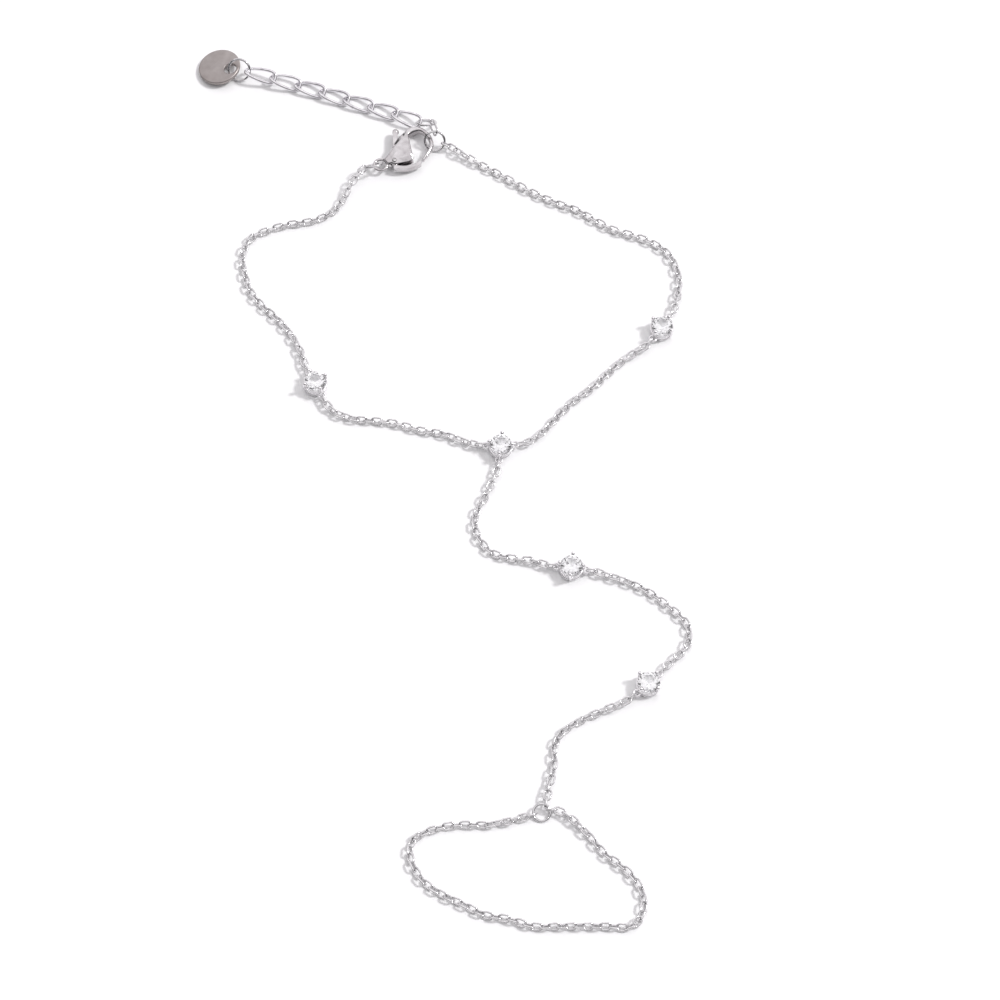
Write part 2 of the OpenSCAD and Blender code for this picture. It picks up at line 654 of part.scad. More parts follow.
tag();
hoop(tag_ring);
ext_link(0);  // ext_link_1
ext_link(1);  // ext_link_2
ext_link(2);  // ext_link_3
ext_link(3);  // ext_link_4
ext_link(4);  // ext_link_5
ext_link(5);  // ext_link_6
ext_link(6);  // ext_link_7
hoop(extender_ring);  // ext_ring
ext_join();
hoop(closing_ring);
clasp_body();
clasp_lever();
clasp_pin();
hoop(eye_ring);
fine_chain(hoop_hold(eye_ring, eye_ring_hang, eye_ring_way), loop_hold(0, 0), route[0]);  // wrist_chain_1
fine_chain(loop_hold(0, 1), loop_hold(2, 1), route[1]);  // wrist_chain_2
fine_chain(loop_hold(2, 0), loop_hold(1, 1), route[2]);  // wrist_chain_3
fine_chain(hoop_hold(closing_ring, closing_ring_hang, closing_ring_way), loop_hold(1, 0),  // wrist_chain_4
             route[3]);
fine_chain(loop_hold(2, 2), loop_hold(3, 1), route[4]);  // hand_chain_1
fine_chain(loop_hold(3, 0), loop_hold(4, 0), route[5]);  // hand_chain_2
fine_chain(loop_hold(4, 1), hoop_hold(finger_ring, finger_ring_hand, finger_ring_hand_way),  // hand_chain_3
             route[6]);
setting(0);  // setting_1
setting(1);  // setting_2
setting(2);  // setting_3
setting(3);  // setting_4
setting(4);  // setting_5
stone(0);  // stone_1
stone(1);  // stone_2
stone(2);  // stone_3
stone(3);  // stone_4
stone(4);  // stone_5
hoop(finger_ring);
finger_chain();
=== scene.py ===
"""Looks of the hand chain bracelet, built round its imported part.

Metres, in the part's frame: X to the right, Y away from the viewer, Z up from the surface.
"""

import math

import bpy
import numpy as np
from mathutils import Matrix, Vector


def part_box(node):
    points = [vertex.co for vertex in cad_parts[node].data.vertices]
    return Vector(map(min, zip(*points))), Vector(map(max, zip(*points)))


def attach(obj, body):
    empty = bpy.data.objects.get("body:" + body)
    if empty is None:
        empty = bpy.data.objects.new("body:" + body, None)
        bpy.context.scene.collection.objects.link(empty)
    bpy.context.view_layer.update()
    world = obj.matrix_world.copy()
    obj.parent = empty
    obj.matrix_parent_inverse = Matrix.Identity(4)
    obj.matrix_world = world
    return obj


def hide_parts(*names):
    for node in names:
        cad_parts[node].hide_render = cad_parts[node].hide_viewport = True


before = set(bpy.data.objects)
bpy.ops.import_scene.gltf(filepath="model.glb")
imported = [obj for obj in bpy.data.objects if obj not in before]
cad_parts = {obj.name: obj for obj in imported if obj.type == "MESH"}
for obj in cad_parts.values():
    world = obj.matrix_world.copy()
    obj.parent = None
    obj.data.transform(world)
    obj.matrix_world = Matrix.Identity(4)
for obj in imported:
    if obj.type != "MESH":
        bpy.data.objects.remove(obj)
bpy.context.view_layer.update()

MM = 0.001

# The camera, fitted to the photograph's frame
FRAME_PIXELS = 1000
FOCAL_PIXELS = 3057
SENSOR_WIDTH = 36
CAMERA_ELEVATION = math.radians(63)
CAMERA_DISTANCE = 425 * MM
CAMERA_AIM = Vector((9.3 * MM, -6.2 * MM, 0))
# The nearest and furthest seen are this many times nearer and further than the aim point
CLIP_RANGE = 100

# Wire sizes that the frame's meshes don't give by themselves
CHAIN_WIRE = 0.28 * MM
CHAIN_WIDTH = 1.22 * MM
CHAIN_PITCH = 1.1 * MM
LINK_GAP = 0.14 * MM
HOOP_WIRE = 0.35 * MM
EXTENDER_WIRE = 0.5 * MM
EXTENDER_WIDTH = 2.5 * MM
EXTENDER_TWIST = math.radians(30)
EXTENDER_SQUARE = 3.2

# How finely each kind of piece is meshed
LINK_STEPS, LINK_SIDES = 28, 12
LARGE_STEPS, LARGE_SIDES = 72, 18
HOOP_STEPS, HOOP_SIDES = 96, 18
TURN_STEPS = 64
# Points in a quarter round edge, of the tag and of the rivet's dome
EDGE_STEPS = 7

# The gap between a jump ring's two ends, and how much their rims are narrowed
SEAM = 0.02 * MM
SEAM_TAPER = 0.93


def camera():
    """The photograph's viewpoint, looking at the aim point from in front and above."""
    data = bpy.data.cameras.new("camera")
    data.sensor_width = SENSOR_WIDTH
    data.lens = FOCAL_PIXELS * SENSOR_WIDTH / FRAME_PIXELS
    data.clip_start = CAMERA_DISTANCE / CLIP_RANGE
    data.clip_end = CAMERA_DISTANCE * CLIP_RANGE
    view = bpy.data.objects.new("camera", data)
    back = Vector((0, -math.cos(CAMERA_ELEVATION), math.sin(CAMERA_ELEVATION)))
    view.location = CAMERA_AIM + CAMERA_DISTANCE * back
    view.rotation_euler = (math.pi / 2 - CAMERA_ELEVATION, 0, 0)
    bpy.context.collection.objects.link(view)
    bpy.context.scene.camera = view


camera()


# Meshes

def new_piece(name, points, faces, material, smooth=True):
    """A mesh object from arrays of points in metres and faces."""
    mesh = bpy.data.meshes.new(name)
    mesh.from_pydata([tuple(p) for p in points], [], [tuple(int(i) for i in f) for f in faces])
    mesh.update()
    mesh.polygons.foreach_set("use_smooth", [smooth] * len(mesh.polygons))
    mesh.materials.append(material)
    piece = bpy.data.objects.new(name, mesh)
    bpy.context.collection.objects.link(piece)
    return piece


def joined(parts):
    """One list of points and faces from several."""
    points, faces, start = [], [], 0
    for p, f in parts:
        points.append(np.asarray(p, float))
        faces.extend([[i + start for i in face] for face in f])
        start += len(p)
    return np.concatenate(points), faces


def sweep(centres, outs, ups, radii, sides, closed=True):
    """A round wire along centres, its section spanned by the unit vectors outs and ups."""
    count = len(centres)
    angles = np.arange(sides) * 2 * math.pi / sides
    ring = (np.cos(angles)[None, :, None] * outs[:, None, :]
            + np.sin(angles)[None, :, None] * ups[:, None, :])
    radii = np.broadcast_to(np.asarray(radii, float), (count,))
    points = (centres[:, None, :] + radii[:, None, None] * ring).reshape(-1, 3)
    faces = []
    for i in range(count if closed else count - 1):
        a, b = i * sides, (i + 1) % count * sides
        for k in range(sides):
            n = (k + 1) % sides
            faces.append([a + k, b + k, b + n, a + n])
    if not closed:
        faces.append(list(range(sides)))
        faces.append([(count - 1) * sides + k for k in reversed(range(sides))])
    return points, faces


def unit(v):
    """Vectors brought to length 1."""
    return v / np.linalg.norm(v, axis=-1, keepdims=True)


# Where the frame's small solids are

def welded(node):
    """A node's points with doubled ones merged, and its edges between them."""
    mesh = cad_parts[node].data
    points = np.zeros(len(mesh.vertices) * 3)
    mesh.vertices.foreach_get("co", points)
    edges = np.zeros(len(mesh.edges) * 2, int)
    mesh.edges.foreach_get("vertices", edges)
    points, index = np.unique(points.reshape(-1, 3), axis=0, return_inverse=True)
    return points, index.ravel()[edges.reshape(-1, 2)]


def solids(node):
    """The points of each loose solid of a node."""
    points, edges = welded(node)
    label = np.arange(len(points))
    while True:
        least = label.copy()
        np.minimum.at(least, edges[:, 0], label[edges[:, 1]])
        np.minimum.at(least, edges[:, 1], label[edges[:, 0]])
        least = least[least]
        if (least == label).all():
            return [points[label == i] for i in np.unique(label)]
        label = least


def lay_of(points):
    """A solid's centre, its own axes from longest to shortest, and its size along each."""
    middle = points.mean(0)
    axes = np.linalg.eigh(np.cov((points - middle).T))[1][:, ::-1].T
    if np.linalg.det(axes) < 0:
        axes[2] *= -1
    reach = (points - middle) @ axes.T
    low, high = reach.min(0), reach.max(0)
    return middle + (low + high) / 2 @ axes, axes, high - low


# Links and rings

def link(length, width, wire, steps=LINK_STEPS, sides=LINK_SIDES):
    """A link of round wire in the XY plane: two half circles joined by straight sides."""
    bend = (width - wire) / 2
    straight = (length - width) / 2
    angles = (np.arange(steps) + 0.5) * 2 * math.pi / steps
    outs = np.stack([np.cos(angles), np.sin(angles), 0 * angles], 1)
    shifts = np.stack([np.sign(np.cos(angles)) * straight, 0 * angles, 0 * angles], 1)
    centres = bend * outs + shifts
    ups = np.broadcast_to([0.0, 0.0, 1.0], outs.shape)
    return sweep(centres, outs, ups, wire / 2, sides)


def chain_piece(name, node, material):
    """Every link of a fine chain, smooth, where the frame's own links lie."""
    parts = []
    for points in solids(node):
        centre, axes, size = lay_of(points)
        ring, faces = link(size[0], size[1], size[2])
        parts.append((centre + ring @ axes, faces))
    return new_piece(name, *joined(parts), material)


def twisted_link(length, width, wire):
    """A large link: a squared oval of wire whose two ends are turned opposite ways."""
    t = (np.arange(LARGE_STEPS) + 0.5) * 2 * math.pi / LARGE_STEPS
    along = np.sign(np.cos(t)) * abs(np.cos(t)) ** (2 / EXTENDER_SQUARE)
    aside = np.sign(np.sin(t)) * abs(np.sin(t)) ** (2 / EXTENDER_SQUARE) * (width - wire) / 2
    turn = EXTENDER_TWIST * along
    centres = np.stack([along * (length - wire) / 2, aside * np.cos(turn), aside * np.sin(turn)], 1)
    way = unit(np.roll(centres, -1, 0) - np.roll(centres, 1, 0))
    flat_normal = np.stack([0 * t, -np.sin(turn), np.cos(turn)], 1)
    outs = unit(np.cross(way, flat_normal))
    return sweep(centres, outs, np.cross(outs, way), wire / 2, LARGE_SIDES)


def large_link_piece(name, node, material):
    """A large link of the extender, lying as the frame's own does."""
    centre, axes, size = lay_of(solids(node)[0])
    along = axes[0]
    aside = unit(np.cross([0, 0, 1], along))
    place = np.stack([along, aside, np.cross(along, aside)])
    ring, faces = twisted_link(size[0], EXTENDER_WIDTH, EXTENDER_WIRE)
    return new_piece(name, centre + ring @ place, faces, material)


def hoop(outer, wire, seam_at):
    """A jump ring in the XY plane, cut at one place, its two ends closed up to each other."""
    r = (outer - wire) / 2
    open_angle = SEAM / r
    shares = np.arange(HOOP_STEPS + 1)
    angles = seam_at + open_angle / 2 + shares * (2 * math.pi - open_angle) / HOOP_STEPS
    outs = np.stack([np.cos(angles), np.sin(angles), 0 * angles], 1)
    ups = np.broadcast_to([0.0, 0.0, 1.0], outs.shape)
    radii = np.full(len(angles), wire / 2)
    radii[[0, -1]] *= SEAM_TAPER
    return sweep(r * outs, outs, ups, radii, HOOP_SIDES, closed=False)


def hoop_piece(name, node, material, seam_at):
    """A jump ring, lying as the frame's own does."""
    centre, axes, size = lay_of(solids(node)[0])
    ring, faces = hoop(max(size[0], size[1]), HOOP_WIRE, seam_at)
    return new_piece(name, centre + ring @ axes, faces, material)


def turned(profile):
    """A solid turned about Z from pairs of radius and height, from the axis and back to it."""
    angles = np.arange(TURN_STEPS) * 2 * math.pi / TURN_STEPS
    around = np.stack([np.cos(angles), np.sin(angles)], 1)
    points = [[0, 0, profile[0][1]]]
    for r, z in profile[1:-1]:
        points.extend([[r * c, r * s, z] for c, s in around])
    points.append([0, 0, profile[-1][1]])
    rows, last = len(profile) - 2, len(points) - 1
    faces = []
    for k in range(TURN_STEPS):
        n = (k + 1) % TURN_STEPS
        faces.append([0, 1 + n, 1 + k])
        for i in range(rows - 1):
            a, b = 1 + i * TURN_STEPS, 1 + (i + 1) * TURN_STEPS
            faces.append([a + k, a + n, b + n, b + k])
        a = 1 + (rows - 1) * TURN_STEPS
        faces.append([a + k, a + n, last])
    return np.array(points, float), faces


# The finger loop's chain, on the same route as the tube that stands for it in the part

# Places on the surface in millimetres, to the right and away from the viewer
FINGER_ROUTE = [
    (18.5, -53.5), (21, -56), (23, -58.5), (25.5, -60.5), (27.5, -63), (28, -66),
    (26.5, -68.5), (23.5, -68.5), (20, -68.5), (17, -68.5), (13.5, -68.5), (10.5, -67.5),
    (7.5, -67), (4.5, -65.5), (1.5, -64), (-1, -62), (-2.5, -59), (-2, -56.5),
    (1, -55), (4, -54.5), (7.5, -54.5), (10.5, -54),
]
CURVE_STEPS = 6
# How the ring that closes the loop is rolled, and where on it the chain starts and ends
FINGER_RING_ROLL = math.radians(22)
RING_START, RING_END = math.radians(25), math.radians(195)
# The chain's headings away from the ring there, and how far it keeps them
START_HEADING, END_HEADING = math.radians(-10), math.radians(195)
FIRST_REACH = 1.1 * MM
# The links lean by this much, give or take the wander, once they have settled from the ring
LEAN = math.radians(45)
LEAN_WANDER = math.radians(9)
WANDER_LENGTH = 17 * MM
SETTLE_LENGTH = 8.5 * MM
# The air between a lying link and the surface
REST_GAP = 0.01 * MM


def ring_place(angle):
    """A point on the finger ring's wire and the wire's direction there."""
    centre, _, size = lay_of(solids("finger_ring")[0])
    r = (max(size[0], size[1]) - HOOP_WIRE) / 2
    side = np.array([0, math.cos(FINGER_RING_ROLL), math.sin(FINGER_RING_ROLL)])
    axis = np.array([1.0, 0, 0])
    return (centre + r * (math.cos(angle) * axis + math.sin(angle) * side),
            math.cos(angle) * side - math.sin(angle) * axis)


def smooth_curve(points):
    """A smooth curve through chosen points, in straight steps."""
    out = []
    last = len(points) - 1
    for i in range(last):
        a, b, c, d = (points[j] for j in (max(i - 1, 0), i, i + 1, min(i + 2, last)))
        for k in range(CURVE_STEPS):
            t = k / CURVE_STEPS
            out.append(0.5 * (2 * b + (c - a) * t + (2 * a - 5 * b + 4 * c - d) * t ** 2
                              + (3 * b - a - 3 * c + d) * t ** 3))
    return np.array(out + [points[last]])


def hold_points(place, heading):
    """The route's first two points: at the held wire, and a little way off along the heading."""
    way = np.array([math.cos(heading), math.sin(heading)])
    return place[:2] - (HOOP_WIRE + LINK_GAP) / 2 * way, place[:2] + FIRST_REACH * way


def square_lean(wire, heading):
    """The lean of a link that crosses its holding wire squarely, nearest to the middle lean."""
    side = np.array([-math.sin(heading), math.cos(heading), 0])
    lean = math.atan2(-wire @ side, wire[2])
    return lean - math.pi * round((lean - LEAN) / math.pi)


def fade(t):
    """A smooth fall from 1 to 0 as t goes from 0 to 1."""
    t = np.clip(t, 0, 1)
    return 1 - 3 * t ** 2 + 2 * t ** 3


def lying(lean):
    """How high the middle of a link lies when it leans so."""
    half = (CHAIN_WIDTH - CHAIN_WIRE) / 2
    return half * np.maximum(abs(np.sin(lean)), abs(np.cos(lean))) + CHAIN_WIRE / 2 + REST_GAP


def finger_chain_links():
    """The links of the finger loop as one mesh's points and faces."""
    (start, start_wire), (end, end_wire) = ring_place(RING_START), ring_place(RING_END)
    a, b = hold_points(start, START_HEADING), hold_points(end, END_HEADING)
    chosen = [a[0], a[1], *(np.array(p) * MM for p in FINGER_ROUTE), b[1], b[0]]
    path = smooth_curve(chosen)
    marks = np.concatenate([[0], np.cumsum(np.linalg.norm(np.diff(path, axis=0), axis=1))])
    total = marks[-1]
    count = round(total / CHAIN_PITCH)
    pitch = total / count
    start_lean = square_lean(start_wire, START_HEADING)
    end_lean = square_lean(end_wire, END_HEADING + math.pi) - math.pi / 2 * ((count - 1) % 2)
    end_lean -= math.pi * round((end_lean - LEAN) / math.pi)

    def lean_at(s):
        mid = LEAN + LEAN_WANDER * np.sin(2 * math.pi * s / WANDER_LENGTH)
        return (mid + (start_lean - mid) * fade(s / SETTLE_LENGTH)
                + (end_lean - mid) * fade((total - s) / SETTLE_LENGTH))

    s = np.arange(count + 1) * pitch
    high = (lying(lean_at(s)) + (start[2] - lying(start_lean)) * fade(s / SETTLE_LENGTH)
            + (end[2] - lying(end_lean)) * fade((total - s) / SETTLE_LENGTH))
    joints = np.stack([np.interp(s, marks, path[:, 0]), np.interp(s, marks, path[:, 1]), high], 1)
    # Each link turns a quarter further than the one before, and none dips into the surface
    ring, faces = link(pitch + 2 * CHAIN_WIRE + LINK_GAP, CHAIN_WIDTH, CHAIN_WIRE)
    parts = []
    for i in range(count):
        way = unit(joints[i + 1] - joints[i])
        aside = unit(np.cross([0, 0, 1], way))
        up = np.cross(way, aside)
        lean = lean_at((i + 0.5) * pitch) + math.pi / 2 * (i % 2)
        axes = np.stack([way, math.cos(lean) * aside + math.sin(lean) * up,
                         math.cos(lean) * up - math.sin(lean) * aside])
        points = (joints[i] + joints[i + 1]) / 2 + ring @ axes
        points[:, 2] += max(0, REST_GAP - points[:, 2].min())
        parts.append((points, faces))
    return joined(parts)


# Cast pieces: the part's own form with its joints and edges softened

# In millimetres, the reach within which doubled points are merged
WELD_REACH = 0.0005
SOFTEN_FACTOR = 0.5


def cast_piece(name, node, material, grain, soften):
    """A node's form remeshed at a grain in millimetres and softened, as polished castings are."""
    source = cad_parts[node].data.copy()
    source.transform(Matrix.Scale(1 / MM, 4))
    shape = bpy.data.objects.new(name, source)
    bpy.context.collection.objects.link(shape)
    weld = shape.modifiers.new("weld", "WELD")
    weld.merge_threshold = WELD_REACH
    remesh = shape.modifiers.new("remesh", "REMESH")
    remesh.mode = "VOXEL"
    remesh.voxel_size = grain
    smooth = shape.modifiers.new("soften", "SMOOTH")
    smooth.factor = SOFTEN_FACTOR
    smooth.iterations = soften
    bpy.context.view_layer.update()
    finished = shape.evaluated_get(bpy.context.evaluated_depsgraph_get())
    done = bpy.data.meshes.new_from_object(finished)
    bpy.data.objects.remove(shape)
    done.transform(Matrix.Scale(MM, 4))
    done.name = name
    done.polygons.foreach_set("use_smooth", [True] * len(done.polygons))
    done.materials.clear()
    done.materials.append(material)
    piece = bpy.data.objects.new(name, done)
    bpy.context.collection.objects.link(piece)
    return piece


# Stones

STONE_D = 3 * MM
# The cut repeats this many times round the stone
FOLD = 8
# The table's corners and the middle corners above and below, as shares of the radius
TABLE_SHARE = 0.567
CROWN_MID, PAVILION_MID = 0.8, 0.38
# The girdle's thickness and its height above the surface
GIRDLE = 0.06 * MM
GIRDLE_Z = 1.75 * MM


def stone_piece(name, node, material, turn):
    """A round brilliant: table, stars, kites and girdle facets above, the rest below."""
    low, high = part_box(node)
    r, r_table = STONE_D / 2, STONE_D / 2 * TABLE_SHARE
    top, bottom = high.z - GIRDLE_Z - GIRDLE / 2, GIRDLE_Z - GIRDLE / 2 - low.z
    half_step = math.pi / FOLD
    r_mid, r_low = r * CROWN_MID, r * PAVILION_MID
    z_mid = top * (r - r_mid * math.cos(half_step)) / (r - r_table)
    z_low = -bottom * (1 - r_low * math.cos(half_step) / r)

    def round_of(count, radius, z, shift):
        angles = [turn + 2 * math.pi * (i + shift) / count for i in range(count)]
        return [(radius * math.cos(a), radius * math.sin(a), z) for a in angles]

    half = GIRDLE / 2
    points = (round_of(FOLD, r_table, half + top, 0) + round_of(FOLD, r_mid, half + z_mid, 0.5)
              + round_of(2 * FOLD, r, half, 0) + round_of(2 * FOLD, r, -half, 0)
              + round_of(FOLD, r_low, z_low - half, 0.5) + [(0, 0, -bottom - half)])
    # Where each round of points starts in the list
    table, mid, upper, lower, low_mid, culet = (FOLD * i for i in (0, 1, 2, 4, 6, 7))
    faces = [list(range(FOLD))]
    for k in range(FOLD):
        n, b = (k + 1) % FOLD, (k - 1) % FOLD
        g0, g1, g2 = 2 * k, 2 * k + 1, (2 * k + 2) % (2 * FOLD)
        faces.append([table + k, mid + k, table + n])
        faces.append([table + k, mid + b, upper + g0, mid + k])
        faces.append([mid + k, upper + g0, upper + g1])
        faces.append([mid + k, upper + g1, upper + g2])
        faces.append([upper + g0, lower + g0, lower + g1, upper + g1])
        faces.append([upper + g1, lower + g1, lower + g2, upper + g2])
        faces.append([low_mid + k, lower + g1, lower + g0])
        faces.append([low_mid + k, lower + g2, lower + g1])
        faces.append([culet, low_mid + k, lower + g0, low_mid + b])
    middle = np.array([(low.x + high.x) / 2, (low.y + high.y) / 2, GIRDLE_Z])
    return new_piece(name, middle + np.array(points), faces, material, smooth=False)


# The tag

# The radii of the rim's and the hole's rounded edges, and the hole's width
TAG_EDGE = 0.2 * MM
TAG_HOLE_EDGE = 0.08 * MM
TAG_HOLE = 1.9 * MM
TAG_STEPS = 128
# The hole's points lie further from the middle and from the rim than this
TAG_MIDDLE, TAG_RIM = 0.3 * MM, 0.38 * MM
# Where the face's rings lie between the hole and the rim
TAG_FACE_SHARES = (0.15, 0.4, 0.65, 0.85)


def tag_piece(name, node, material):
    """The round disc with its hole, both with rounded edges."""
    points = solids(node)[0]
    centre, axes, size = lay_of(points)
    if axes[2][2] < 0:
        axes = axes * np.array([[1], [-1], [-1]])
    flat = (points - centre) @ axes.T
    away = np.linalg.norm(flat[:, :2], axis=1)
    inside = (away > TAG_MIDDLE) & (away < size[0] / 2 - TAG_RIM)
    hole = (flat[inside].min(0) + flat[inside].max(0))[:2] / 2
    half, r = size[2] / 2, size[0] / 2
    bend = [(1 - math.cos(t), 1 - math.sin(t)) for t in np.linspace(0, math.pi / 2, EDGE_STEPS)]
    # Each ring of points: its share of the way from hole to rim, its offset and its height
    outer = [(1, -TAG_EDGE * back, half - TAG_EDGE * down) for back, down in reversed(bend)]
    inner = [(0, TAG_HOLE_EDGE * back, half - TAG_HOLE_EDGE * down) for back, down in bend]
    face = [(share, 0, half) for share in TAG_FACE_SHARES]
    upper = inner + face + outer
    rows = upper + [(w, o, -z) for w, o, z in reversed(upper)]
    angles = np.arange(TAG_STEPS) * 2 * math.pi / TAG_STEPS
    way = np.stack([np.cos(angles), np.sin(angles)], 1)
    rings = []
    for where, offset, z in rows:
        ring_in = hole + (TAG_HOLE / 2 + (offset if where == 0 else TAG_HOLE_EDGE)) * way
        ring_out = (r + (offset if where == 1 else -TAG_EDGE)) * way
        flat_ring = (1 - where) * ring_in + where * ring_out
        rings.append(np.column_stack([flat_ring, np.full(len(angles), z)]))
    faces = []
    for i in range(len(rows)):
        a, b = i * TAG_STEPS, (i + 1) % len(rows) * TAG_STEPS
        for k in range(TAG_STEPS):
            n = (k + 1) % TAG_STEPS
            faces.append([a + k, b + k, b + n, a + n])
    return new_piece(name, centre + np.concatenate(rings) @ axes, faces, material)


# How much the rivet's ends are domed, as a share of its radius
PIN_DOME = 0.35


def pin_piece(name, node, material):
    """The rivet, its two ends hammered to a low dome."""
    low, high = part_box(node)
    r, half = (high.x - low.x) / 2, (high.z - low.z) / 2
    bend = np.linspace(0, math.pi / 2, EDGE_STEPS)
    dome = [(r * math.sin(t), half - PIN_DOME * r * (1 - math.cos(t))) for t in bend]
    points, faces = turned([(x, -z) for x, z in dome] + [(x, z) for x, z in reversed(dome)])
    return new_piece(name, points + np.array((low + high) / 2), faces, material)


# Materials

# How deep the pits of the polished metals and the tag's brushing are, and how strongly they show
PIT_DEPTH, PIT_STRENGTH = 0.004 * MM, 0.35
BRUSH_DEPTH, BRUSH_STRENGTH = 0.012 * MM, 0.5
# The values of a noise at which its two colours are reached
RAMP_START, RAMP_END = 0.3, 0.7
# The layers of detail in the metals' clouds and pits
CLOUD_DETAIL, PIT_DETAIL = 4, 6
# The tag's brushing: its fineness along each axis, its heading, its detail and its pull
BRUSH_FINENESS, BRUSH_HEADING = (26, 1.6, 26), math.radians(12)
BRUSH_DETAIL, BRUSH_PULL = 5, 0.4
# Each noise below is a fineness, in waves to the millimetre, and its layers of detail
TAG_CLOUDS = 0.55, 3
TAG_TONES = (0.34, 0.305, 0.295), (0.44, 0.405, 0.395)
TAG_ROUGHNESS = 0.3, 0.5
STONE_IOR = 1.75
STONE_WISPS = 2.2, 4
STONE_TONES = (0.95, 0.955, 0.975), (1, 1, 1)
STONE_ROUGHNESS = 0, 0.015
FLOOR_GRAIN = 0.35, 3
FLOOR_TONES = (0.9, 0.9, 0.905), (0.915, 0.912, 0.918)
FLOOR_ROUGHNESS, FLOOR_SPECULAR = 0.7, 0.15


def material(name):
    """A new material, with its nodes, its links and its shader."""
    made = bpy.data.materials.new(name)
    made.use_nodes = True
    nodes = made.node_tree.nodes
    return made, nodes, made.node_tree.links, nodes["Principled BSDF"]


def noise(nodes, links, scale, detail, stretch=(1, 1, 1), turn=0):
    """A noise in the object's own millimetres."""
    where = nodes.new("ShaderNodeTexCoord")
    mapping = nodes.new("ShaderNodeMapping")
    mapping.inputs["Scale"].default_value = [s / MM for s in stretch]
    mapping.inputs["Rotation"].default_value[2] = turn
    texture = nodes.new("ShaderNodeTexNoise")
    texture.inputs["Scale"].default_value = scale
    texture.inputs["Detail"].default_value = detail
    links.new(where.outputs["Object"], mapping.inputs["Vector"])
    links.new(mapping.outputs["Vector"], texture.inputs["Vector"])
    return texture


def ramp(nodes, links, source, low, high):
    """The source's values spread between two colours."""
    node = nodes.new("ShaderNodeValToRGB")
    node.color_ramp.elements[0].position = RAMP_START
    node.color_ramp.elements[1].position = RAMP_END
    node.color_ramp.elements[0].color = (*low, 1)
    node.color_ramp.elements[1].color = (*high, 1)
    links.new(source, node.inputs["Fac"])
    return node


def spread(nodes, links, source, low, high):
    """The source's values spread between two numbers."""
    node = nodes.new("ShaderNodeMapRange")
    node.inputs["To Min"].default_value = low
    node.inputs["To Max"].default_value = high
    links.new(source, node.inputs["Value"])
    return node


def bump(nodes, links, shader, source, depth, strength):
    """Relief on the shader from the source's values."""
    node = nodes.new("ShaderNodeBump")
    node.inputs["Distance"].default_value = depth
    node.inputs["Strength"].default_value = strength
    links.new(source, node.inputs["Height"])
    links.new(node.outputs["Normal"], shader.inputs["Normal"])


def polished_metal(name, dark, light, roughness, mottle, pits):
    """Bright plated metal: faint clouding of its tone, uneven gloss and shallow pits."""
    made, nodes, links, shader = material(name)
    shader.inputs["Metallic"].default_value = 1
    clouds = noise(nodes, links, mottle, CLOUD_DETAIL)
    tone = ramp(nodes, links, clouds.outputs["Fac"], dark, light)
    links.new(tone.outputs["Color"], shader.inputs["Base Color"])
    fine = noise(nodes, links, pits, PIT_DETAIL)
    links.new(spread(nodes, links, fine.outputs["Fac"], *roughness).outputs["Result"],
              shader.inputs["Roughness"])
    bump(nodes, links, shader, fine.outputs["Fac"], PIT_DEPTH, PIT_STRENGTH)
    return made


def satin_metal(name):
    """The tag's face: warm grey, brushed one way."""
    made, nodes, links, shader = material(name)
    shader.inputs["Metallic"].default_value = 1
    shader.inputs["Anisotropic"].default_value = BRUSH_PULL
    brush = noise(nodes, links, 1, BRUSH_DETAIL, stretch=BRUSH_FINENESS, turn=BRUSH_HEADING)
    clouds = noise(nodes, links, *TAG_CLOUDS)
    tone = ramp(nodes, links, clouds.outputs["Fac"], *TAG_TONES)
    links.new(tone.outputs["Color"], shader.inputs["Base Color"])
    links.new(spread(nodes, links, brush.outputs["Fac"], *TAG_ROUGHNESS).outputs["Result"],
              shader.inputs["Roughness"])
    bump(nodes, links, shader, brush.outputs["Fac"], BRUSH_DEPTH, BRUSH_STRENGTH)
    return made


def clear_stone(name):
    """Colourless cut stone: clear, highly refractive, with faint wisps inside."""
    made, nodes, links, shader = material(name)
    shader.inputs["Transmission Weight"].default_value = 1
    shader.inputs["IOR"].default_value = STONE_IOR
    wisps = noise(nodes, links, *STONE_WISPS)
    tone = ramp(nodes, links, wisps.outputs["Fac"], *STONE_TONES)
    links.new(tone.outputs["Color"], shader.inputs["Base Color"])
    links.new(spread(nodes, links, wisps.outputs["Fac"], *STONE_ROUGHNESS).outputs["Result"],
              shader.inputs["Roughness"])
    return made


def floor_material():
    """The plain pale surface, with a faint grain of tone."""
    made, nodes, links, shader = material("pale_floor")
    shader.inputs["Roughness"].default_value = FLOOR_ROUGHNESS
    shader.inputs["Specular IOR Level"].default_value = FLOOR_SPECULAR
    grain = noise(nodes, links, *FLOOR_GRAIN)
    tone = ramp(nodes, links, grain.outputs["Fac"], *FLOOR_TONES)
    links.new(tone.outputs["Color"], shader.inputs["Base Color"])
    return made


# Each metal's darker and lighter tone, its least and most roughness, and the fineness of its
# clouds and of its pits
METALS = {
    "chain": ((0.62, 0.61, 0.62), (0.92, 0.91, 0.92), (0.03, 0.1), 1.4, 9),
    "ring": ((0.55, 0.54, 0.55), (0.84, 0.83, 0.84), (0.03, 0.1), 1.1, 8),
    "extender": ((0.64, 0.62, 0.65), (0.93, 0.92, 0.94), (0.03, 0.1), 0.9, 7),
    "clasp": ((0.5, 0.475, 0.485), (0.72, 0.7, 0.71), (0.05, 0.14), 0.7, 6),
    "setting": ((0.82, 0.8, 0.82), (0.98, 0.97, 0.98), (0.08, 0.2), 1.6, 9),
    "pin": ((0.45, 0.44, 0.44), (0.62, 0.61, 0.61), (0.2, 0.34), 2, 10),
}
steel = {name: polished_metal(f"{name}_metal", *values) for name, values in METALS.items()}
tag_metal = satin_metal("tag_metal")
stone_clear = clear_stone("stone_clear")


# The pieces

